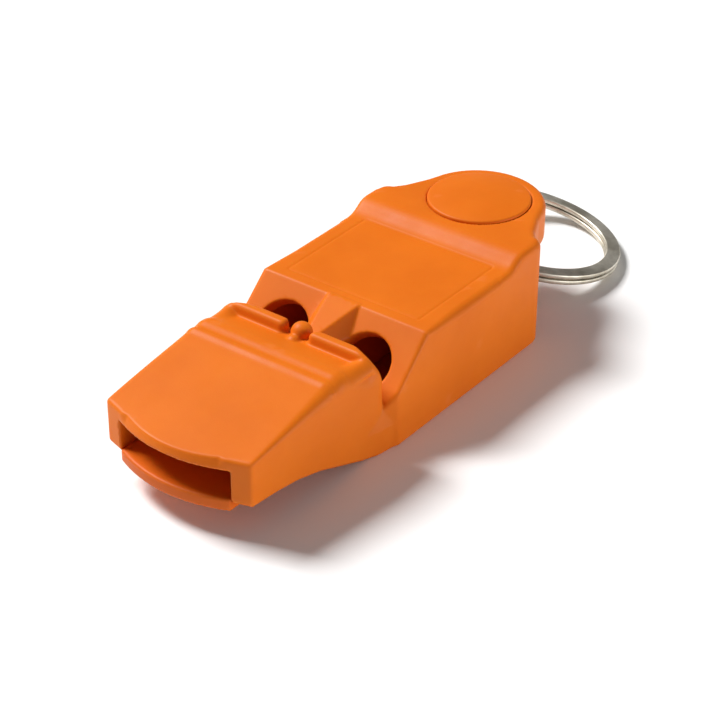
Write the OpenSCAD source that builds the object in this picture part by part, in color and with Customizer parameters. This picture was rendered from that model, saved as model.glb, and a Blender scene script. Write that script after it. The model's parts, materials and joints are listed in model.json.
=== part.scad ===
// Flat pealess safety whistle with a key ring.
// X runs from the mouthpiece to the ring, Y across the whistle and Z up.
// The whistle stands on its flat underside at Z = 0, and the origin is the
// centre of that footprint, the ring included.

/* [Body] */
// Width of the sound body
body_w = 25.4; // [24:0.1:28]
// Height of the flat top over the sound body
body_h = 13.3; // [13:0.1:14]
// Distance from the mouth corners to the rear wall of the body
body_end = 56.4; // [54:0.1:60]
// Thickness of the moulded walls
wall = 1.8; // [1.4:0.1:2]

/* [Mouthpiece] */
// Width across the mouth corners
mouth_w = 21.7; // [20:0.1:22]
// Height of the top edge at the mouth corners
mouth_top = 10.7; // [10.5:0.1:11]
// Width of the mouth slot
slot_w = 16.6; // [14:0.1:17]
// Bottom of the mouth slot
slot_low = 5.1; // [5:0.1:5.5]
// Top of the mouth slot
slot_high = 9; // [8.8:0.1:9.1]

/* [Sound ports] */
// Radius of each round port in the sloping face
port_r = 3.7; // [3:0.1:3.8]
// Distance of each port from the middle of the whistle
port_y = 6.3; // [6:0.1:6.5]

/* [Tail] */
// Radius of the round end of the tail tab
tab_r = 8.7; // [8.4:0.1:9]
// Underside of the tail tab
tab_low = 9.7; // [9.5:0.1:10]
// Top of the tail tab
tab_top = 14.8; // [14:0.1:15]
// Radius of the domed button on the tail
button_r = 6.8; // [6:0.1:7.2]

/* [Key ring] */
// Outer diameter of the split ring
ring_d = 25; // [24:0.5:26]
// Radial width of the flat ring wire
wire_w = 2; // [1.8:0.1:2.2]
// Thickness of one turn of ring wire
wire_t = 0.72; // [0.6:0.02:0.8]
// Angle that the ring hangs down from level
ring_droop = 9; // [8:0.5:12]
// Roll of the ring towards its low side
ring_roll = 9.5; // [6:0.5:10]

/* [Hidden] */
$fn = 96;

// Height of the plain blocks that the outlines are cut from.
tall = 20;

// Outline in plan. X is 0 at the mouth corners here, and the bowed lip is in
// front of them.
lip_x = -2.7;
nose_r = 18.6;
nose_half = 8.2;
mouth_half = mouth_w / 2;
mouth_corner = [[-0.1, mouth_half - 0.7], [0.3, mouth_half - 0.2], [0.9, mouth_half]];
body_half = body_w / 2;
cheek_half = 11.1;
shoulder_x = [22.8, 25];
rear_corner_r = 2.3;
tab_x = 59.7;
tab_root_x = 46.8;
tab_flare = [[56.4, 11.3], [57.2, 10.6], [58.2, 9.9], [59.4, 9.3], [60.6, 8.8]];

// Heights along the length.
cheek_top = 13.6;
cheek_top_x = 16;
ramp_x = [48.8, 50.8];
ridge_rear = [[24, cheek_top], [24.6, 9.2]];
valley = [25.2, 7.7];
slope_top_x = valley[0] + body_h - valley[1];
keel = [[22, 0], [19.5, 0.3], [16, 1.5], [12, 2.9], [8.3, 3.7], [4.7, 4.2], [0, 4.4]];
top_slope = (cheek_top - mouth_top) / cheek_top_x;

// Bite ridges, the scoop in front of them and the bump between them.
scoop_at = [21.1, 15];
scoop_r = 2.6;
scoop_len = 9;
scoop_y = 6.5;
ridge_gap = 3.7;
gap_x = 20.8;
gap_floor = 12.4;
bump_x = 21.6;
bump_r = 1.5;
bump_top = 13.8;

// Ports in the slope, and the web between them.
port_at = [26.4, 8.9];
port_in = 3.4;
port_out = 3.1;
web_front = [25.6, 12.4];
web_rear_half = 2.2;
web_front_half = 1.2;

// Hollows and inner parts.
chamber_x = [24.4, body_end - wall];
chamber_top = body_h - wall;
chamber_half = body_half - wall;
divider_half = 1;
fit_gap = 0.05;
jet_x = [18, 25];
jet_floor = 7.9;
splitter_x = 6;
splitter_half = 2.7;
plate_half = slot_w / 2 - 0.1;
plate_low = 3.5;
plate_bend = [[12, 4.7], [16, 3.3], [19.5, 2.1], [22, wall]];
block_end = chamber_x[0] - 0.1;

// Ring lug and ring.
lug_half = 2.5;
lug_r = 4;
eye_r = 2.4;
ring_r = ring_d / 2;
ring_mid_r = ring_r - wire_w / 2;
ring_gap = 0.06;
ring_yaw = 1.2;
crossing = 55;
wire_cut = 0.5;
ring_half_t = wire_t + ring_gap / 2;

// The ring's lowest point rests at Z = 0, which sets the height of its eye.
roll_z = sin(ring_roll) * cos(ring_droop);
eye_z = ring_mid_r * sin(ring_droop) + ring_r * sqrt(pow(sin(ring_droop), 2) + pow(roll_z, 2))
    + ring_half_t * cos(ring_roll) * cos(ring_droop);
eye = [62, 0, eye_z];

// Frame: the middle of the whole length, from the lip to the ring's far side.
reach_x = sin(ring_roll) * sin(ring_droop) * cos(ring_yaw) - cos(ring_roll) * sin(ring_yaw);
far_x = eye[0] + ring_mid_r * cos(ring_droop) * cos(ring_yaw)
    + ring_r * sqrt(pow(cos(ring_droop) * cos(ring_yaw), 2) + pow(reach_x, 2))
    + ring_half_t * cos(ring_roll) * sin(ring_droop);
mid_x = (lip_x + far_x) / 2;

// Button, its stud and its seat.
seat_z = 13.8;
stud_low = 10.7;
stud_roof = 10.5;
button_edge = 15.15;
dome_rise = 0.55;
stud_r = 2;

function arc(c, r, a0, a1, n) = [
    for (i = [0:n])
        let (a = a0 + (a1 - a0) * i / n)
        [c[0] + r * cos(a), c[1] + r * sin(a)]
];
function flipped(pts) = [for (i = [len(pts) - 1:-1:0]) [pts[i][0], -pts[i][1]]];

// Half of the body's outline, from the lip to the rear wall.
nose_a = asin(nose_half / nose_r);
half_body = concat(
    arc([lip_x + nose_r, 0], nose_r, 180, 180 - nose_a, 10),
    mouth_corner,
    [[cheek_top_x, cheek_half], [shoulder_x[0], cheek_half], [shoulder_x[1], body_half]],
    arc([body_end - rear_corner_r, body_half - rear_corner_r], rear_corner_r, 90, 0, 6));

// Half of the tab's outline, from inside the body to the round end.
half_tab = concat(
    [[tab_root_x, body_half], [body_end - rear_corner_r, body_half]],
    tab_flare,
    arc([tab_x, 0], tab_r, 75, 0, 14));

module from_side(width, pts) {
    translate([0, width / 2, 0])
        rotate([90, 0, 0])
        linear_extrude(width)
        polygon(pts);
}

module from_above(low, half_outline) {
    translate([0, 0, low])
        linear_extrude(tall)
        polygon(concat(half_outline, flipped(half_outline)));
}

module body_block() {
    before_lip = lip_x - 1;
    intersection() {
        from_above(-1, half_body);
        from_side(body_w + 2, concat(
            [[body_end + 1, 0]],
            keel,
            [[before_lip, keel[6][1]], [before_lip, mouth_top + top_slope * before_lip],
             [cheek_top_x, cheek_top]],
            ridge_rear,
            [valley, [slope_top_x, body_h], [ramp_x[0], body_h], [ramp_x[1], tab_top],
             [body_end + 1, tab_top]]));
    }
}

module tail_tab() {
    past_tab = tab_x + tab_r + 1;
    intersection() {
        from_above(tab_low, half_tab);
        from_side(body_w + 2, [[tab_root_x - 1, 0], [tab_root_x - 1, body_h], [ramp_x[0], body_h],
            [ramp_x[1], tab_top], [past_tab, tab_top], [past_tab, 0]]);
    }
}

// The bite ridges: a scooped valley in front of them and a gap between them.
module ridge_cuts() {
    for (side = [-1, 1]) {
        translate([scoop_at[0], side * scoop_y, scoop_at[1]])
            rotate([90, 0, 0])
            cylinder(r = scoop_r, h = scoop_len, center = true);
    }
    translate([gap_x, -ridge_gap / 2, gap_floor])
        cube([valley[0] - gap_x, ridge_gap, tall]);
}

module gap_bump() {
    translate([bump_x, 0, gap_floor - 0.2])
        cylinder(r = bump_r, h = bump_top - gap_floor + 0.2);
}

// The wedge between the ports, level with the top of the body.
module port_web() {
    rear = slope_top_x;
    intersection() {
        linear_extrude(tall)
            polygon([[rear, web_rear_half], [web_front[0], web_front_half],
                [web_front[0], -web_front_half], [rear, -web_rear_half]]);
        from_side(2 * web_rear_half + 1, [valley, [rear, valley[1]], [rear, body_h], web_front,
            ridge_rear[1]]);
    }
}

module ring_lug() {
    root_x = body_end - 0.5;
    translate([0, lug_half, 0])
        rotate([90, 0, 0])
        linear_extrude(2 * lug_half)
        union() {
            translate([eye[0], eye[2]])
                circle(lug_r);
            translate([root_x, eye[2] - lug_r])
                square([eye[0] - root_x, 2 * lug_r]);
            translate([root_x, eye[2]])
                square([eye[0] - root_x + lug_r, tab_low - eye[2] + 0.5]);
        }
}

// The two sound chambers, open below for the base plate.
module chambers() {
    front = chamber_x[0];
    rear = chamber_x[1];
    width = chamber_half - divider_half;
    roof = [[front, -1], [front, 5.2], [front + 1, 5.3], [port_at[0] + 0.1, 6.4],
        [slope_top_x + 0.8, chamber_top], [rear, chamber_top], [rear, -1]];
    for (side = [-1, 1]) {
        translate([0, side * (chamber_half + divider_half) / 2, 0])
            from_side(width, roof);
    }
    translate([front, -chamber_half, -1])
        cube([rear - front, 2 * chamber_half, wall + 1]);
}

// The windway: open below for the plate and the block, and split into two jets.
module windway() {
    half = slot_w / 2;
    room_half = plate_half + fit_gap;
    before_lip = lip_x - 2;
    jet_w = half - splitter_half;
    translate([before_lip, -half, slot_low])
        cube([chamber_x[0] - before_lip, slot_w, slot_high - slot_low]);
    translate([before_lip, -room_half, -1])
        cube([chamber_x[0] - before_lip + 0.01, 2 * room_half, slot_low + 1.01]);
    for (side = [-1, 1]) {
        translate([jet_x[0], side * (half + splitter_half) / 2 - jet_w / 2, slot_low])
            cube([jet_x[1] - jet_x[0], jet_w, slot_high - slot_low]);
    }
}

module ports() {
    for (side = [-1, 1]) {
        translate([port_at[0], side * port_y, port_at[1]])
            rotate([0, -45, 0])
            translate([0, 0, -port_in])
            cylinder(r = port_r, h = port_in + port_out);
    }
}

module upper_shell() {
    color("darkorange") difference() {
        union() {
            difference() {
                body_block();
                ridge_cuts();
            }
            gap_bump();
            port_web();
            tail_tab();
            ring_lug();
        }
        chambers();
        windway();
        ports();
        translate([eye[0], 0, eye[2]])
            rotate([90, 0, 0])
            cylinder(r = eye_r, h = 4 * lug_half, center = true);
        translate([tab_x, 0, seat_z])
            cylinder(r = button_r + fit_gap, h = tall);
        translate([tab_x, 0, stud_roof])
            cylinder(r = stud_r + fit_gap, h = tall);
    }
}

module base_plate() {
    front = chamber_x[0];
    tongue = concat(
        [[lip_x - 1, plate_low], [lip_x - 1, slot_low], [splitter_x, slot_low]],
        plate_bend,
        [[front + 0.2, wall], [front + 0.2, 0], [22, 0], [19.5, 0.3], [16, 1.5], [12, 2.9],
         [9.4, plate_low]]);
    floor_half = chamber_half - fit_gap;
    color("orangered") union() {
        intersection() {
            from_above(-1, half_body);
            from_side(2 * plate_half, tongue);
        }
        translate([front + fit_gap, -floor_half, 0])
            cube([chamber_x[1] - front - 2 * fit_gap, 2 * floor_half, wall]);
    }
}

// The wedge that lifts and divides the breath, with the splitter on top of it.
module windway_block() {
    bend = [for (i = [3:-1:0]) plate_bend[i]];
    wedge = concat(
        [[splitter_x, slot_low], [block_end - 0.3, jet_floor], [block_end, jet_floor],
         [block_end, wall]],
        bend);
    tip = splitter_half - fit_gap;
    color("tomato") union() {
        from_side(2 * plate_half, wedge);
        translate([0, 0, slot_low])
            linear_extrude(slot_high - slot_low)
            polygon([[splitter_x, 0], [block_end, tip], [block_end, -tip]]);
    }
}

module tail_button() {
    dome_r = (button_r * button_r + dome_rise * dome_rise) / (2 * dome_rise);
    dome = [
        for (i = [1:8])
            let (r = button_r * (1 - i / 8))
            [r, button_edge + dome_rise - dome_r + sqrt(dome_r * dome_r - r * r)]
    ];
    side = [[0, stud_low], [stud_r, stud_low], [stud_r, seat_z], [button_r, seat_z],
        [button_r, button_edge]];
    color("coral")
        translate([tab_x, 0, 0])
        rotate_extrude()
        polygon(concat(side, dome));
}

module ring_turn(low) {
    translate([0, 0, low]) difference() {
        cylinder(r = ring_r, h = wire_t);
        translate([0, 0, -1])
            cylinder(r = ring_r - wire_w, h = wire_t + 2);
    }
}

// A slot across one turn, which parts the wire's end from the step.
module wire_end(angle, low) {
    rotate([0, 0, angle])
        translate([ring_r - wire_w - 1, -wire_cut / 2, low])
        cube([wire_w + 2, wire_cut, wire_t + 1]);
}

// Two turns of flat wire, joined where the wire steps from one to the other.
module split_ring() {
    step = ring_gap / 2;
    color("silver")
        translate(eye)
        rotate([0, ring_droop, ring_yaw])
        rotate([ring_roll, 0, 0])
        translate([ring_mid_r, 0, 0])
        difference() {
            union() {
                ring_turn(step);
                ring_turn(-step - wire_t);
                rotate([0, 0, crossing])
                    translate([ring_r - wire_w + 0.1, -2, -step - 0.2])
                    cube([wire_w - 0.3, 4, 2 * step + 0.4]);
            }
            wire_end(crossing - 10, step);
            wire_end(crossing + 10, -step - wire_t - 1);
        }
}

translate([-mid_x, 0, 0]) {
    upper_shell();
    base_plate();
    windway_block();
    tail_button();
    split_ring();
}
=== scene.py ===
import json
import math

import bpy
import numpy as np
from mathutils import Matrix, Vector


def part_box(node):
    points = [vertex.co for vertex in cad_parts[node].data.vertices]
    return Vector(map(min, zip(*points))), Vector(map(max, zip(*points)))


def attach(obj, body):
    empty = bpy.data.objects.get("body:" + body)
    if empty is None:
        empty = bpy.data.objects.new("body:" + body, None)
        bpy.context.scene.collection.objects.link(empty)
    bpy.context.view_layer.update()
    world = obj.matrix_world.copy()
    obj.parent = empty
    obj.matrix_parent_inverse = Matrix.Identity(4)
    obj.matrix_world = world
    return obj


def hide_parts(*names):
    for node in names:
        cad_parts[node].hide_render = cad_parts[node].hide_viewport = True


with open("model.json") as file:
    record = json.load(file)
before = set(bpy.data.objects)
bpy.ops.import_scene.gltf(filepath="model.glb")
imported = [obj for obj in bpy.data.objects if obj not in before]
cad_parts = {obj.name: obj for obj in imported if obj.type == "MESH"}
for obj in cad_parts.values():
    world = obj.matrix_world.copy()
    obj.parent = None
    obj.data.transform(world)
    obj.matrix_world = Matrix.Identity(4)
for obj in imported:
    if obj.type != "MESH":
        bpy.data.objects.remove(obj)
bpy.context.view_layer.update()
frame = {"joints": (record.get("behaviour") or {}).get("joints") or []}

# A flat orange safety whistle with a split ring. Lengths are in millimetres until a mesh
# is written in metres. x runs from the mouth's corners to the tail, y across and z up.
MM = 0.001


# ---------------------------------------------------------------- the frame
def node_box(name):
    """The low and high corners of a CAD node."""
    return [np.array(corner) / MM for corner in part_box(name)]


shell_low, shell_high = node_box("upper_shell")
button_low, button_high = node_box("tail_button")
swing_point = np.array(frame["joints"][0]["pos_m"]) / MM

LIP_X = -2.7                                  # front of the lips
ORIGIN = np.array([shell_low[0] - LIP_X, 0.0, 0.0])
BODY_HALF = shell_high[1]                     # half width of the sound body
TAB_TOP = shell_high[2]                       # top of the tail tab
TAB_END = shell_high[0] - ORIGIN[0]           # far end of the tail tab
BUTTON_R = (button_high[1] - button_low[1]) / 2
BUTTON_X = (button_high[0] + button_low[0]) / 2 - ORIGIN[0]
BUTTON_TOP = button_high[2]
EYE = swing_point - ORIGIN                    # middle of the lug's cross hole

# ------------------------------------------------------- sizes of the mouthpiece
SLOT_HALF = 8.3                               # the slot that the breath enters
SLOT_LOW = 5.1
SLOT_HIGH = 9.0
SLOT_MOUTH = -9.0                             # a place clear in front of the lips
LIP_R = 18.6                                  # bow of the lips, seen from above
LIP_LEAN = 0.36                               # how far the upper lip leans back for each mm up
LEAN_LENGTH = 1.06                            # length of that leaning face for each mm up
LEAN_FADE = (8.2, 6.9)                        # half widths where the lean starts and is full
LEAN_END = 3.0
ROOF_FADE = (8.3, 10.5)                       # half widths between the waved roof and the plain one
CHEEK_REAR = 24.3                             # back of the cheeks
RIDGE_TOP = 13.78                             # crest of the bite ridges
PLATE_LOW = 3.5                               # underside of the lower lip
PLATE_HALF = 8.2                              # half width of the lower lip and the wedge
WEDGE_FRONT = 6.0
SPLITTER_LOW = 5.5                            # foot of the splitter, inside the wedge
SPLITTER_HALF = 2.65                          # half its width at the ports
JET_LOW = 5.8                                 # floor of the two jets beside it
JET_FRONT = 18.0
JET_INNER_HALF = 2.7

# ------------------------------------------------------- sizes of the sound body
BODY_TOP = 13.3
BODY_END = 56.4
WALL = 1.8
CHAMBER_FRONT = 24.4
CHAMBER_END = BODY_END - WALL
CHAMBER_HALF = BODY_HALF - WALL
CHAMBER_TOP = BODY_TOP - WALL
DIVIDER_HALF = 1.0                            # half of the thin wall between the chambers
VALLEY = (25.2, 7.7)                          # foot of the slope, as x and z
PORT_R = 3.7
PORT_AT = (26.4, 6.3, 8.9)
PORT_REACH = (-3.4, 3.1)                      # the bore's two ends, measured square to the slope
WEB_RUN = (23.5, 31.0)
WEB_FOOT = 6.0
PANEL_RUN = (32.35, 48.3)                     # the top panel's fine groove
PANEL_HALF = 10.0
GROOVE_HALF = 0.2
GROOVE_DEPTH = 0.09
PLATE_PLAY = 0.08                             # gap around the base plate's floor
LIP_PLAY = 0.06                               # gap on each side of its lip

# ------------------------------------------------------- sizes of the tail
TAB_R = TAB_END - BUTTON_X
TAB_LOW = 9.7
SEAT_Z = 13.8                                 # floor of the disc's round seat
SEAT_GAP = 0.05
STUD_R = 2.0
STUD_GAP = 0.06
STUD_FLOOR = TAB_LOW + 0.8                    # blind end of the stud's hole
LUG_HALF = 2.5
LUG_R = 4.0
EYE_R = 2.4

# ------------------------------------------------------- sizes of the ring
RING_D = 25.0
WIRE_W = 2.0
WIRE_T = 0.67
TURN_GAP = 0.16
DROOP = math.radians(9)
ROLL = math.radians(9.5)
YAW = math.radians(1.2)
CROSSING = 65.0                               # where the wire's lower turn starts, in degrees
STEP_SWEEP = 20.0                             # the stretch where it steps up
END_GAP = 1.2                                 # between each cut end and the step

# ------------------------------------------------------- rounds of edges and creases
FINE = 0.1
SOFT = 0.2

# ------------------------------------------------------- the mesh
PITCH = 0.22                                  # grid of the shell's surface
INNER_PITCH = PITCH * 1.2                     # grid of the two pieces inside it
GRID_SHIFT = 1.63                             # keeps the box's own faces off the grid's planes
CHUNK = 8000                                  # points that are pulled at one time


# ------------------------------------------------------------ distance fields
def rounded(corners, steps=6):
    """A closed outline from (u, v, radius) corners, each one turned into a curve."""
    points = []
    count = len(corners)
    most = 0.48                               # of a side, so that two curves never meet
    for i, (u, v, radius) in enumerate(corners):
        here = np.array([u, v], float)
        back = np.array(corners[i - 1][:2]) - here
        ahead = np.array(corners[(i + 1) % count][:2]) - here
        reach_back, reach_ahead = np.linalg.norm(back), np.linalg.norm(ahead)
        back, ahead = back / reach_back, ahead / reach_ahead
        half = math.acos(np.clip(np.dot(back, ahead), -1, 1)) / 2
        if radius <= 0 or half > math.radians(89):
            points.append(here)
            continue
        cut = min(radius / math.tan(half), most * reach_back, most * reach_ahead)
        start, end = here + back * cut, here + ahead * cut
        for k in range(steps + 1):
            t = k / steps
            points.append((1 - t) ** 2 * start + 2 * t * (1 - t) * here + t * t * end)
    return np.array(points)


def outline_sdf(u, v, outline):
    """Signed distance from (u, v) to a closed outline, negative inside."""
    u, v = np.broadcast_arrays(u, v)
    best = np.full(u.shape, 1e9)
    inside = np.zeros(u.shape, bool)
    for i in range(len(outline)):
        (ax, ay), (bx, by) = outline[i], outline[i - 1]
        ex, ey = bx - ax, by - ay
        wx, wy = u - ax, v - ay
        t = np.clip((wx * ex + wy * ey) / (ex * ex + ey * ey), 0, 1)
        best = np.minimum(best, (wx - ex * t) ** 2 + (wy - ey * t) ** 2)
        crosses = (ay > v) != (by > v)
        if ay != by:
            inside ^= crosses & (u < ex * (v - ay) / ey + ax)
    return np.where(inside, -1, 1) * np.sqrt(best)


def meet(a, b, radius):
    """Intersection with a round edge."""
    corner = np.hypot(np.maximum(radius + a, 0), np.maximum(radius + b, 0))
    return np.minimum(-radius, np.maximum(a, b)) + corner


def join(a, b, radius):
    """Union with a round inner corner."""
    return -meet(-a, -b, radius)


def carve(a, b, radius):
    """a with b cut out of it, and a round rim."""
    return meet(a, -b, radius)


def slab(v, low, high):
    return np.abs(v - (low + high) / 2) - (high - low) / 2


def ball(x, y, z, centre, radius):
    return np.sqrt((x - centre[0]) ** 2 + (y - centre[1]) ** 2 + (z - centre[2]) ** 2) - radius


def grow(value, start, end):
    """0 at start, rising evenly to 1 at end."""
    return np.clip((value - start) / (end - start), 0, 1)


def mirrored(half):
    """A whole outline from the corners of its +y half."""
    return half + [(u, -v, r) for u, v, r in reversed(half) if v > 0]


# ------------------------------------------------------------------- outlines
def lip_arc(steps=8):
    """Half of the mouth's bowed front, from the middle to the slot's end."""
    sweep = math.asin(SLOT_HALF / LIP_R)
    turns = [sweep * k / steps for k in range(steps + 1)]
    return [(LIP_X + LIP_R * (1 - math.cos(a)), LIP_R * math.sin(a), 0) for a in turns]


def tab_arc(steps=13):
    """Half of the tab's round end, about the disc's middle."""
    turns = np.radians(np.linspace(76, 4, steps))
    return [(BUTTON_X + TAB_R * math.cos(a), TAB_R * math.sin(a), 0) for a in turns]


# Plans hold (x, y, radius) corners, and profiles hold (x, z, radius) corners.
MOUTH_PLAN = rounded(mirrored(lip_arc() + [
    (0.0, 10.9, 0.55), (12, 11.1, 4), (19, 11.4, 4), (24.1, 11.9, 2.0)]))
BODY_PLAN = rounded(mirrored([
    (18.5, 9.0, 0), (22.4, 11.2, 0.8), (25.0, BODY_HALF, 1.5), (BODY_END, BODY_HALF, 2.4)]), 10)
CHEEK_PROFILE = rounded([
    (-8, -8, 0), (-8, 9.1, 0), (13.7, 13.15, 0.6), (14.5, 13.5, 0.6),
    (15.4, 13.3, 0.5), (16.3, 13.62, 0.6), (17.2, 13.62, 1.5), (19.5, 12.85, 1.2),
    (21.0, 12.4, 0.8), (24.3, 12.3, 0.3), (25.3, 9.0, 0.6), (26.2, 6.0, 0), (26.2, -8, 0)])
FILL_PROFILE = rounded([
    (13.0, 9, 0), (13.4, 12.7, 1), (17.2, 13.3, 2), (22.2, 13.5, 0.6), (23.4, 11, 0)])
RIDGE_PROFILE = rounded([
    (20.9, 10.5, 0), (21.05, 12.3, 0.3), (21.4, RIDGE_TOP, 0.75),
    (24.35, RIDGE_TOP, 0.45), (25.3, 9.0, 0.4), (25.6, 7.0, 0)])
RIDGE_PLAN = rounded([
    (19.5, 1.75, 0), (19.5, 14, 0), (24.9, 14, 0), (24.9, 2.7, 2.2), (22.6, 1.75, 0.9)])
BODY_PROFILE = rounded([
    (18, -8, 0), (18, 0.5, 0), (VALLEY[0] - 0.4, VALLEY[1] - 0.2, 0.3),
    (VALLEY[0] + BODY_TOP - VALLEY[1], BODY_TOP, 0.5), (48.7, BODY_TOP, 3.4),
    (50.9, TAB_TOP, 3.4), (70, TAB_TOP, 0), (70, -8, 0)])
KEEL_PROFILE = rounded([
    (-8, 30, 0), (-8, 4.4, 0), (0, 4.4, 2), (4.7, 4.2, 3), (8.3, 3.8, 3), (12, 2.9, 3),
    (16, 1.5, 3), (19.5, 0.3, 3), (22, 0, 3), (90, 0, 0), (90, 30, 0)])
TAB_PLAN = rounded(mirrored([
    (46, BODY_HALF, 0), (54.2, BODY_HALF, 1.8), (57.4, 10.3, 3), (60.4, 8.9, 3)] + tab_arc()))
LUG_PROFILE = rounded([
    (BODY_END - 2, EYE[2] - LUG_R + 0.3, 0), (EYE[0] + LUG_R, EYE[2] - LUG_R, 3.4),
    (EYE[0] + LUG_R, TAB_LOW + 2, 0), (BODY_END - 2, TAB_LOW + 2, 0)], 10)
CHAMBER_PROFILE = rounded([
    (CHAMBER_FRONT, -5, 0), (CHAMBER_FRONT, 5.2, 0.3), (25.4, 5.3, 0.3), (26.5, 6.4, 0.5),
    (31.6, CHAMBER_TOP, 1), (CHAMBER_END, CHAMBER_TOP, 0.8), (CHAMBER_END, -5, 0)])
PLATE_PROFILE = rounded([
    (-8, PLATE_LOW, 0), (-8, SLOT_LOW, 0), (6, SLOT_LOW, 1), (12, 4.7, 2), (16, 3.3, 2),
    (19.5, 2.1, 2), (22, WALL, 1), (26, WALL, 0), (26, 0, 0), (22, 0, 2), (19.5, 0.3, 2),
    (16, 1.5, 2), (12, 2.9, 2), (9.6, PLATE_LOW, 1)])
WEDGE_PROFILE = rounded([
    (WEDGE_FRONT, SLOT_LOW + 0.05, 0.1), (24.0, 7.9, 0.3), (CHEEK_REAR, 7.8, 0.1),
    (CHEEK_REAR, WALL + 0.05, 0.1), (22, WALL + 0.05, 1), (19.5, 2.15, 2), (16, 3.35, 2),
    (12, 4.75, 2)])


# ----------------------------------------------------------- the outer forms
def tongue(x, y, z):
    """The small two-lobed tongue in the gap between the bite ridges."""
    head = ball(x, y, z, (22.6, 0, 12.6), 1.35)
    foot = ball(x, y, z, (20.95, 0, 11.95), 1.0)
    return join(head, foot, 0.25)


def gate_nib(x, y, z):
    """The nib that the mould's gate left on the cheek's upper edge."""
    return ball(x, y, z, (14.6, -10.75, 12.3), 0.45)


def rear_wall(x, y, z):
    """The back of the cheeks, which leans forward towards each upper corner."""
    flat_half, soft = 5.7, 0.2
    spread = np.hypot(np.maximum(np.abs(y) - flat_half, 0), soft) - soft
    lean = 0.55 * spread * grow(z, 8.5, 13.7)
    rake = 0.2 * (BODY_TOP - z)
    return (x - CHEEK_REAR - rake + lean) / 1.15


def cheeks(x, y, z):
    """The mouthpiece: a waved roof with two bite ridges, a leaning lip and a leaning back."""
    across = np.abs(y)
    plan = outline_sdf(x, y, MOUTH_PLAN)
    roof = outline_sdf(x, z, CHEEK_PROFILE)
    plain = grow(across, *ROOF_FADE)
    plain = plain * plain * (3 - 2 * plain)
    roof = roof + plain * np.minimum(outline_sdf(x, z, FILL_PROFILE) - roof, 0)
    ridge_round, ridge_foot = 0.8, 0.35
    ridges = meet(outline_sdf(x, across, RIDGE_PLAN), outline_sdf(x, z, RIDGE_PROFILE), ridge_round)
    roof = join(roof, ridges, ridge_foot)
    rim = 0.45 + 2.0 * grow(x, 0, 20) ** 1.5
    rear_rim = 0.35 + 0.6 * grow(across, 7, 10)
    crease = 0.15
    form = meet(plan, roof, rim)
    form = meet(form, rear_wall(x, y, z), rear_rim)
    form = join(form, tongue(x, y, z), crease)
    lean = grow(across, *LEAN_FADE)
    clear = 0.1 * (1 - lean)
    before_lip = (clear - plan - LIP_LEAN * lean * (z - SLOT_HIGH)) / LEAN_LENGTH
    form = carve(form, np.maximum(before_lip, x - LEAN_END), crease)
    return join(form, gate_nib(x, y, z), FINE)


def web(x, y, z):
    """The prow between the ports: two leaning sides under a falling top."""
    crest_rear = np.array([30.4, 2.25, BODY_TOP])
    crest_front = np.array([25.8, 1.1, 12.0])
    foot = np.array([27.9, 3.2, 10.4])
    normal = np.cross(crest_front - crest_rear, foot - crest_rear)
    normal *= np.sign(normal[1]) / np.linalg.norm(normal)
    side = (x - foot[0]) * normal[0] + (np.abs(y) - foot[1]) * normal[1] + (z - foot[2]) * normal[2]
    fall = (crest_rear[2] - crest_front[2]) / (crest_rear[0] - crest_front[0])
    lid = (z - crest_rear[2] - fall * (x - crest_rear[0])) / math.hypot(1, fall)
    prow = meet(side, lid, 0.08)
    return np.maximum(np.maximum(prow, slab(x, *WEB_RUN)), WEB_FOOT - z)


def sound_body(x, y, z):
    """The long box with its sloping face, the step up to the tail, and the web."""
    edge = 0.4 + 0.7 * grow(x, 27, 37)
    form = meet(outline_sdf(x, y, BODY_PLAN), outline_sdf(x, z, BODY_PROFILE), edge)
    return join(form, web(x, y, z), FINE)


def tail_tab(x, y, z):
    upper_round, lower_round = 0.9, 0.5
    form = meet(outline_sdf(x, y, TAB_PLAN), outline_sdf(x, z, BODY_PROFILE), upper_round)
    return meet(form, TAB_LOW - z, lower_round)


def ring_lug(x, y, z):
    return meet(np.abs(y) - LUG_HALF, outline_sdf(x, z, LUG_PROFILE), 0.5)


def outside(x, y, z):
    """The shell's outer form, before its hollows."""
    crease = 0.12 + 1.8 * grow(z, 6.0, 3.5)
    form = join(cheeks(x, y, z), sound_body(x, y, z), crease)
    form = np.minimum(form, tail_tab(x, y, z))
    lug_root = 0.8
    form = join(form, ring_lug(x, y, z), lug_root)
    keel_edge = 0.5 + 0.4 * grow(x, 10, 0)
    return meet(form, outline_sdf(x, z, KEEL_PROFILE), keel_edge)


# --------------------------------------------------------------- the hollows
def windway(x, y, z):
    slot = meet(np.abs(y) - SLOT_HALF, slab(z, SLOT_LOW - 0.3, SLOT_HIGH), SOFT)
    return meet(slab(x, SLOT_MOUTH, CHAMBER_FRONT), slot, FINE)


def lip_room(x, y, z):
    """The room that the base plate's front lies in."""
    below = np.maximum(z - SLOT_LOW, slab(x, SLOT_MOUTH, CHAMBER_FRONT + 0.1))
    return meet(np.abs(y) - PLATE_HALF - LIP_PLAY, below, FINE)


def jets(x, y, z):
    """The two thin ways past the splitter, from the windway to the ports."""
    passage = np.maximum(slab(x, JET_FRONT, VALLEY[0]), slab(z, JET_LOW, SLOT_HIGH))
    return meet(slab(np.abs(y), JET_INNER_HALF, SLOT_HALF), passage, SOFT)


def chambers(x, y, z):
    """The two rooms beside the thin wall in the middle."""
    width = slab(np.abs(y), DIVIDER_HALF, CHAMBER_HALF)
    return meet(width, outline_sdf(x, z, CHAMBER_PROFILE), 0.5)


def floor_room(x, y, z):
    """The opening in the underside that the base plate closes."""
    plan = np.maximum(slab(x, CHAMBER_FRONT, CHAMBER_END), np.abs(y) - CHAMBER_HALF)
    return np.maximum(plan, z - WALL)


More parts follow.
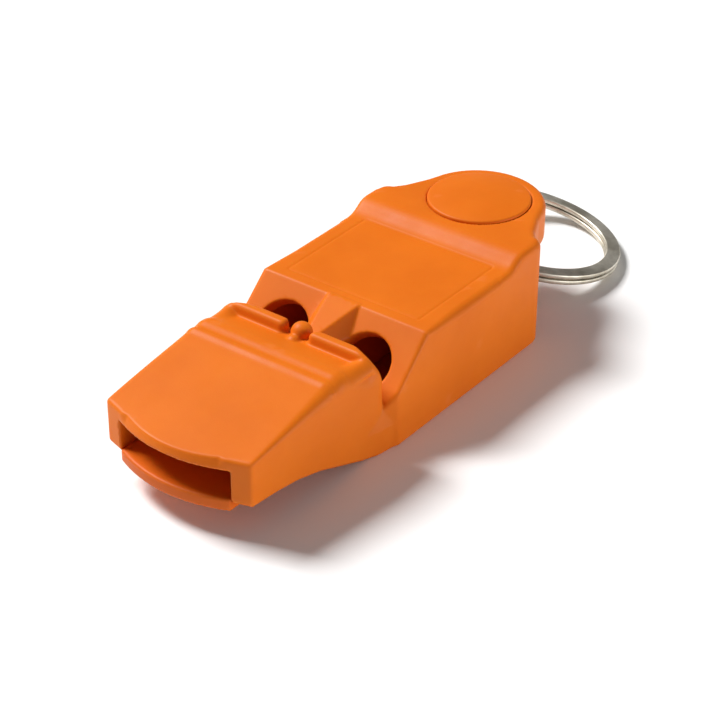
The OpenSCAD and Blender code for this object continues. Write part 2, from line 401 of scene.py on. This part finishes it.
def ports(x, y, z):
    """The two round bores, square to the slope."""
    run = (z - PORT_AT[2] + x - PORT_AT[0]) * math.sqrt(0.5)
    depth = (z - PORT_AT[2] - x + PORT_AT[0]) * math.sqrt(0.5)
    bore = np.hypot(run, np.abs(y) - PORT_AT[1]) - PORT_R
    return np.maximum(bore, slab(depth, *PORT_REACH))


def ring_eye(x, y, z):
    return np.hypot(x - EYE[0], z - EYE[2]) - EYE_R


def disc_seat(x, y, z):
    return np.maximum(np.hypot(x - BUTTON_X, y) - BUTTON_R - SEAT_GAP, SEAT_Z - z)


def stud_hole(x, y, z):
    return np.maximum(np.hypot(x - BUTTON_X, y) - STUD_R - STUD_GAP, STUD_FLOOR - z)


# Every hollow of the shell with the round of its rim.
HOLLOWS = ((windway, 0.12), (lip_room, FINE), (jets, 0.12), (chambers, FINE), (floor_room, FINE),
           (ports, 0.22), (ring_eye, 0.4), (disc_seat, 0.07), (stud_hole, FINE / 2))


def panel_groove(x, y, z):
    """How deep the top panel's fine groove is, and 0 away from it."""
    panel = meet(slab(x, *PANEL_RUN), np.abs(y) - PANEL_HALF, 0.3)
    return GROOVE_DEPTH * grow(np.abs(panel), GROOVE_HALF, 0) * (z > CHAMBER_TOP + 0.5)


# ---------------------------------------------------------- the moulded pieces
def upper_shell(x, y, z):
    form = outside(x, y, z)
    for hollow, rim in HOLLOWS:
        form = carve(form, hollow(x, y, z), rim)
    return form + panel_groove(x, y, z)


def base_plate(x, y, z):
    """The lower lip, which runs back into the chambers' floor."""
    across = np.abs(y)
    nose = meet(outline_sdf(x, y, MOUTH_PLAN), outline_sdf(x, z, PLATE_PROFILE), SOFT)
    nose = meet(nose, across - PLATE_HALF, 0.12)
    run = slab(x, CHAMBER_FRONT + PLATE_PLAY, CHAMBER_END - PLATE_PLAY)
    floor = meet(run, across - CHAMBER_HALF + PLATE_PLAY, 0.5)
    floor = meet(floor, slab(z, 0, WALL), SOFT)
    return join(nose, floor, SOFT)


def windway_block(x, y, z):
    """The wedge on the lower lip, with the splitter that widens towards the ports."""
    across = np.abs(y)
    wedge = meet(across - PLATE_HALF, outline_sdf(x, z, WEDGE_PROFILE), 0.15)
    width = SPLITTER_HALF * grow(x, WEDGE_FRONT, CHEEK_REAR)
    length = np.maximum(slab(x, WEDGE_FRONT, CHEEK_REAR), slab(z, SPLITTER_LOW, SLOT_HIGH))
    splitter = meet(across - width, length, FINE / 2)
    return join(wedge, splitter, SOFT)


# ----------------------------------------------------------------- meshing
def cell_window(value, corner):
    """value at one corner of every grid cell."""
    return value[tuple(slice(c, n - 1 + c) for c, n in zip(corner, value.shape))]


def crossed_cells(value):
    """The grid cells that the surface crosses, and in each the mean of its edges' crossings."""
    shape = tuple(n - 1 for n in value.shape)
    total = np.zeros(shape + (3,), np.float32)
    hits = np.zeros(shape, np.float32)
    corners = [(i, j, k) for i in (0, 1) for j in (0, 1) for k in (0, 1)]
    for near in corners:
        for axis in range(3):
            if near[axis]:
                continue
            far = tuple(near[e] + (e == axis) for e in range(3))
            here, there = cell_window(value, near), cell_window(value, far)
            cross = (here < 0) != (there < 0)
            t = np.where(cross, here / np.where(cross, here - there, 1), 0)
            for e in range(3):
                total[..., e] += np.where(cross, near[e] + (t if e == axis else 0), 0)
            hits += cross
    cells = np.argwhere(hits > 0)
    chosen = tuple(cells.T)
    return cells, total[chosen] / hits[chosen][:, None]


def cell_quads(inside, cells):
    """One quad for each grid edge that the surface crosses, wound to face outwards."""
    shape = np.array(inside.shape)
    index = np.full(tuple(shape - 1), -1, np.int64)
    index[tuple(cells.T)] = np.arange(len(cells))
    step = np.eye(3, dtype=int)
    quads = []
    for axis in range(3):
        u, v = (axis + 1) % 3, (axis + 2) % 3
        first = inside[tuple(slice(None, -1) if e == axis else slice(None) for e in range(3))]
        second = inside[tuple(slice(1, None) if e == axis else slice(None) for e in range(3))]
        edges = np.argwhere(first != second)
        edges = edges[(edges[:, u] > 0) & (edges[:, v] > 0)]
        edges = edges[(edges[:, u] < shape[u] - 1) & (edges[:, v] < shape[v] - 1)]
        ring = [edges - step[u] - step[v], edges - step[v], edges, edges - step[u]]
        quad = np.stack([index[tuple(c.T)] for c in ring], 1)
        leaving = first[tuple(edges.T)]
        quad[~leaving] = quad[~leaving][:, ::-1]
        quads.append(quad)
    return np.concatenate(quads)


def surface_net(field, low, high, pitch):
    """A quad mesh of field's zero level, with its points pulled onto the surface."""
    axes = [np.arange(a - GRID_SHIFT * pitch, b + 2 * pitch, pitch) for a, b in zip(low, high)]
    grid = np.meshgrid(*axes, indexing="ij", sparse=True)
    value = np.asarray(field(*grid), np.float32)
    value = np.broadcast_to(value, [len(a) for a in axes])
    cells, offset = crossed_cells(value)
    start = np.array([a[0] for a in axes])
    points = start + (cells + offset) * pitch
    return pull(field, points, pitch), cell_quads(value < 0, cells)


def pull(field, points, pitch):
    """Moves points along the field's slope until they lie on its zero level."""
    chunks = np.array_split(points, len(points) // CHUNK + 1)
    return np.concatenate([pull_chunk(field, chunk, pitch) for chunk in chunks])


def pull_chunk(field, start, pitch, rounds=2, step=0.02):
    least_slope, reach = 0.3, 0.7 * pitch
    points = start.copy()
    for _ in range(rounds):
        x, y, z = points.T
        value = field(x, y, z)
        slope = np.stack([field(x + step, y, z) - value, field(x, y + step, z) - value,
                          field(x, y, z + step) - value], 1) / step
        size = np.maximum((slope ** 2).sum(1), least_slope)
        drift = points - slope * (value / size)[:, None] - start
        far = np.linalg.norm(drift, axis=1)
        points = start + drift * np.minimum(1, reach / np.maximum(far, 1e-9))[:, None]
    return points


def new_object(name, points, faces):
    """A smooth mesh object from points in millimetres, x from the mouth's corners."""
    mesh = bpy.data.meshes.new(name)
    corners = ((np.asarray(points) + ORIGIN) * MM).tolist()
    mesh.from_pydata(corners, [], [list(map(int, face)) for face in faces])
    mesh.validate()
    mesh.update()
    mesh.polygons.foreach_set("use_smooth", [True] * len(mesh.polygons))
    piece = bpy.data.objects.new(name, mesh)
    bpy.context.scene.collection.objects.link(piece)
    return piece


def moulded(name, field, node, pitch, keep):
    """A moulded piece: the field's surface in the box of its CAD node, thinned where it is flat."""
    low, high = (corner - ORIGIN for corner in node_box(node))
    points, quads = surface_net(field, low, high, pitch)
    piece = new_object(name, np.clip(points, low, high), quads)
    thin = piece.modifiers.new("thin", "DECIMATE")
    thin.ratio = keep
    flat = piece.modifiers.new("flat", "WEIGHTED_NORMAL")
    flat.weight = 60
    apply_modifiers(piece)
    return piece


def apply_modifiers(piece):
    graph = bpy.context.evaluated_depsgraph_get()
    mesh = bpy.data.meshes.new_from_object(piece.evaluated_get(graph))
    piece.modifiers.clear()
    piece.data = mesh


def lathe(name, profile, centre, steps=128):
    """A turned piece from (radius, height) points, closed on its axis at both ends."""
    points, faces, rows = [], [], []
    for radius, height in profile:
        if radius < 1e-6:
            rows.append([len(points)])
            points.append((centre[0], centre[1], height))
            continue
        rows.append(list(range(len(points), len(points) + steps)))
        for k in range(steps):
            a = 2 * math.pi * k / steps
            points.append((centre[0] + radius * math.cos(a), centre[1] + radius * math.sin(a), height))
    for low, high in zip(rows, rows[1:]):
        for k in range(steps):
            m = (k + 1) % steps
            if len(low) == 1:
                faces.append((low[0], high[m], high[k]))
            elif len(high) == 1:
                faces.append((low[k], low[m], high[0]))
            else:
                faces.append((low[k], low[m], high[m], high[k]))
    return new_object(name, points, faces)


def make_button():
    """The domed disc: a stud, a crisp turned-over rim and a shallow dome."""
    rim, dome_rise, bevel, rings = 0.28, 0.55, 0.1, 20
    stud_low, stud_bevel = TAB_LOW + 1, 0.2
    edge = BUTTON_TOP - dome_rise
    turn = [(BUTTON_R - rim + rim * math.cos(a), edge - rim + rim * math.sin(a))
            for a in np.radians(np.linspace(0, 80, 7))]
    top_r, top_z = turn[-1]
    dome = [(top_r * (1 - k / rings), BUTTON_TOP - (BUTTON_TOP - top_z) * (1 - k / rings) ** 2)
            for k in range(1, rings + 1)]
    stud = [(0, stud_low), (STUD_R - stud_bevel, stud_low), (STUD_R, stud_low + stud_bevel),
            (STUD_R, SEAT_Z)]
    under = [(BUTTON_R - bevel, SEAT_Z), (BUTTON_R, SEAT_Z + bevel)]
    return lathe("domed_tail_button", stud + under + turn + dome, (BUTTON_X, 0))


def wire_section():
    """The flat wire's section, with rounded edges, as (width, thickness) points."""
    edge = 0.2
    half_w, half_t = WIRE_W / 2 - edge, WIRE_T / 2 - edge
    section = []
    for side_u, side_v, start in ((1, 1, 0), (-1, 1, 90), (-1, -1, 180), (1, -1, 270)):
        for a in np.radians(np.linspace(start, start + 90, 4)):
            section.append((side_u * half_w + edge * math.cos(a), side_v * half_t + edge * math.sin(a)))
    return section


def make_ring():
    """Two turns of flat wire, a step between the turns and two cut ends."""
    middle = (RING_D - WIRE_W) / 2
    level = (WIRE_T + TURN_GAP) / 2
    section = wire_section()
    steps = 420
    total = 720.0 - STEP_SWEEP - 2 * END_GAP
    points, faces = [], []
    for i in range(steps + 1):
        turn = END_GAP + total * i / steps
        rise = np.clip((turn - 360 + STEP_SWEEP) / STEP_SWEEP, 0, 1)
        height = level * (2 * rise * rise * (3 - 2 * rise) - 1)
        a = math.radians(CROSSING + turn)
        fade = 1 if 0 < i < steps else 0.8
        for u, v in section:
            radius = middle + u * fade
            points.append((radius * math.cos(a), radius * math.sin(a), height + v * fade))
    n = len(section)
    for i in range(steps):
        for k in range(n):
            m = (k + 1) % n
            faces.append((i * n + k, (i + 1) * n + k, (i + 1) * n + m, i * n + m))
    faces.append(tuple(range(n)))
    faces.append(tuple(steps * n + k for k in reversed(range(n))))
    lie = Matrix.Rotation(YAW, 3, "Z") @ Matrix.Rotation(DROOP, 3, "Y") @ Matrix.Rotation(ROLL, 3, "X")
    placed = (np.array(points) + (middle, 0, 0)) @ np.array(lie).T + EYE
    return new_object("split_ring_wire", placed, faces)


# ------------------------------------------------------------------- materials
def node_material(name):
    material = bpy.data.materials.new(name)
    material.use_nodes = True
    tree = material.node_tree
    tree.nodes.clear()
    output = tree.nodes.new("ShaderNodeOutputMaterial")
    shader = tree.nodes.new("ShaderNodeBsdfPrincipled")
    tree.links.new(shader.outputs["BSDF"], output.inputs["Surface"])
    where = tree.nodes.new("ShaderNodeTexCoord")
    return material, tree, shader, where


def noise(tree, where, scale, detail=3.0, roughness=0.5, stretch=None):
    texture = tree.nodes.new("ShaderNodeTexNoise")
    texture.inputs["Scale"].default_value = scale
    texture.inputs["Detail"].default_value = detail
    texture.inputs["Roughness"].default_value = roughness
    place = where.outputs["Object"]
    if stretch:
        mapping = tree.nodes.new("ShaderNodeMapping")
        mapping.inputs["Scale"].default_value = stretch
        tree.links.new(place, mapping.inputs["Vector"])
        place = mapping.outputs["Vector"]
    tree.links.new(place, texture.inputs["Vector"])
    return texture.outputs["Fac"]


def ramp(tree, source, *stops):
    """Colours by source, from (position, colour) stops."""
    node = tree.nodes.new("ShaderNodeValToRGB")
    while len(node.color_ramp.elements) < len(stops):
        node.color_ramp.elements.new(0.5)
    for element, (at, colour) in zip(node.color_ramp.elements, stops):
        element.position = at
        element.color = colour
    tree.links.new(source, node.inputs["Fac"])
    return node.outputs["Color"]


def grey(level):
    return (level, level, level, 1)


def bump(tree, source, strength, distance, under=None):
    """A bump by source, laid over the normal that comes from under."""
    node = tree.nodes.new("ShaderNodeBump")
    node.inputs["Strength"].default_value = strength
    node.inputs["Distance"].default_value = distance
    tree.links.new(source, node.inputs["Height"])
    if under:
        tree.links.new(under, node.inputs["Normal"])
    return node.outputs["Normal"]


def edge_highlight_mask(tree, where, most):
    """How much painted highlight the surface gets: most at sharp edges, broken up by noise."""
    geometry = tree.nodes.new("ShaderNodeNewGeometry")
    edge = ramp(tree, geometry.outputs["Pointiness"], (0.515, grey(0)), (0.60, grey(1)))
    patchy = tree.nodes.new("ShaderNodeMath")
    patchy.operation = "MULTIPLY"
    tree.links.new(edge, patchy.inputs[0])
    tree.links.new(noise(tree, where, 900, 3, 0.6), patchy.inputs[1])
    soften = tree.nodes.new("ShaderNodeMath")
    soften.operation = "MULTIPLY"
    soften.inputs[1].default_value = most
    tree.links.new(patchy.outputs[0], soften.inputs[0])
    return soften.outputs[0]


def orange_plastic(name, red=1.0, green=1.0):
    """Satin moulded orange: mottled colour, a painted highlight that makes sharp edges paler, fine
    grain and flow waves.
    """
    material, tree, shader, where = node_material(name)
    link = tree.links.new
    deep = (0.72 * red, 0.150 * green, 0.0050, 1)
    fair = (0.78 * red, 0.172 * green, 0.0070, 1)
    # Paler colour laid on sharp edges: a painted highlight.
    edge_highlight_colour = (0.86, 0.24, 0.07, 1)
    mix = tree.nodes.new("ShaderNodeMix")
    mix.data_type = "RGBA"
    mix.inputs["B"].default_value = edge_highlight_colour
    # The painted edge highlight's strength.
    link(edge_highlight_mask(tree, where, 0.35), mix.inputs["Factor"])
    link(ramp(tree, noise(tree, where, 90, 4, 0.55), (0.35, deep), (0.68, fair)), mix.inputs["A"])
    link(mix.outputs["Result"], shader.inputs["Base Color"])
    rough = ramp(tree, noise(tree, where, 260, 4, 0.6), (0.3, grey(0.40)), (0.75, grey(0.52)))
    link(rough, shader.inputs["Roughness"])
    shader.inputs["Subsurface Weight"].default_value = 0.12
    shader.inputs["Subsurface Radius"].default_value = (1.0, 0.35, 0.08)
    shader.inputs["Subsurface Scale"].default_value = 0.0016
    shader.inputs["IOR"].default_value = 1.49
    shader.inputs["Specular IOR Level"].default_value = 0.16
    grain = bump(tree, noise(tree, where, 5200, 2, 0.5), 0.25, 0.00004)
    waves = bump(tree, noise(tree, where, 140, 2, 0.4), 0.3, 0.00012, grain)
    link(waves, shader.inputs["Normal"])
    return material


def ring_steel():
    """Nickel-plated spring wire: bright, with fine drawn scratches and dull patches."""
    material, tree, shader, where = node_material("nickel_spring_steel")
    link = tree.links.new
    dull, bright = (0.50, 0.46, 0.37, 1), (0.88, 0.83, 0.72, 1)
    link(ramp(tree, noise(tree, where, 160, 4, 0.6), (0.36, dull), (0.60, bright)),
         shader.inputs["Base Color"])
    shader.inputs["Metallic"].default_value = 1.0
    scratch = noise(tree, where, 900, 3, 0.6, (1, 1, 5))
    link(ramp(tree, scratch, (0.3, grey(0.44)), (0.8, grey(0.56))), shader.inputs["Roughness"])
    link(bump(tree, scratch, 0.12, 0.00003), shader.inputs["Normal"])
    return material


def pale_floor():
    material, tree, shader, where = node_material("pale_paper")
    shade, light = (0.93, 0.93, 0.925, 1), (0.96, 0.96, 0.955, 1)
    colour = ramp(tree, noise(tree, where, 6, 3, 0.5), (0.3, shade), (0.7, light))
    tree.links.new(colour, shader.inputs["Base Color"])
    shader.inputs["Roughness"].default_value = 0.75
    return material


# ----------------------------------------------------------------- assembling
def add(piece, node, body, material):
    piece.data.materials.clear()
    piece.data.materials.append(material)
    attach(piece, body)
    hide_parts(node)


plastic = orange_plastic("orange_satin_plastic")
# The base plate and wedge sit inside the slot, so they get a darker, redder copy of the same plastic as
# painted shade.
shaded_inner_plastic = orange_plastic("orange_plastic_painted_shade", 0.88, 0.76)
steel = ring_steel()
add(moulded("whistle_shell", upper_shell, "upper_shell", PITCH, 0.4),
    "upper_shell", "whistle", plastic)
add(moulded("whistle_base", base_plate, "base_plate", INNER_PITCH, 0.35),
    "base_plate", "whistle", shaded_inner_plastic)
add(moulded("whistle_wedge", windway_block, "windway_block", INNER_PITCH, 0.35),
    "windway_block", "whistle", shaded_inner_plastic)
add(make_button(), "tail_button", "whistle", plastic)
add(make_ring(), "split_ring", "ring", steel)


# ------------------------------------------------------------ camera and stage
def make_camera():
    """Looks down over the mouth's near corner with a long lens, and sets the scene's camera."""
    azimuth, elevation, roll = math.radians(-53.03), math.radians(32.57), math.radians(0.36)
    back = Vector((math.sin(azimuth) * math.cos(elevation), -math.cos(azimuth) * math.cos(elevation),
                   math.sin(elevation)))
    place = Vector((-148.46, -137.46, 148.83)) + Vector(ORIGIN)
    data = bpy.data.cameras.new("photo_camera")
    data.sensor_width = 36
    data.lens = 108.38
    data.clip_start = 0.01
    camera = bpy.data.objects.new("photo_camera", data)
    bpy.context.scene.collection.objects.link(camera)
    camera.location = place * MM
    look = (-back).to_track_quat("-Z", "Y").to_matrix()
    camera.rotation_euler = (look @ Matrix.Rotation(roll, 3, "Z")).to_euler()
    bpy.context.scene.camera = camera


def softbox(name, place, size, power):
    """A rectangular light at place, in metres, turned towards the whistle."""
    target = Vector((0, 0, 0.005))
    data = bpy.data.lights.new(name, "AREA")
    data.shape = "RECTANGLE"
    data.size, data.size_y = size
    data.energy = power
    light = bpy.data.objects.new(name, data)
    bpy.context.scene.collection.objects.link(light)
    light.location = place
    light.rotation_euler = (target - Vector(place)).to_track_quat("-Z", "Y").to_euler()


def make_floor():
    half = 1.5
    corners = [(-half, -half, 0), (half, -half, 0), (half, half, 0), (-half, half, 0)]
    mesh = bpy.data.meshes.new("pale_floor")
    mesh.from_pydata(corners, [], [(0, 1, 2, 3)])
    floor = bpy.data.objects.new("pale_floor", mesh)
    floor.data.materials.append(pale_floor())
    bpy.context.scene.collection.objects.link(floor)


def make_lights():
    world = bpy.data.worlds.new("studio")
    world.use_nodes = True
    sky = world.node_tree.nodes["Background"]
    sky.inputs["Color"].default_value = (1, 1, 1, 1)
    sky.inputs["Strength"].default_value = 0.16
    bpy.context.scene.world = world
    softbox("key", (-0.10, 0.69, 0.83), (0.36, 0.36), 15.6)
    softbox("side_fill", (0.10, -0.60, 0.07), (0.40, 0.09), 1.8)


bpy.context.scene.view_settings.view_transform = "Standard"
make_camera()
make_floor()
make_lights()
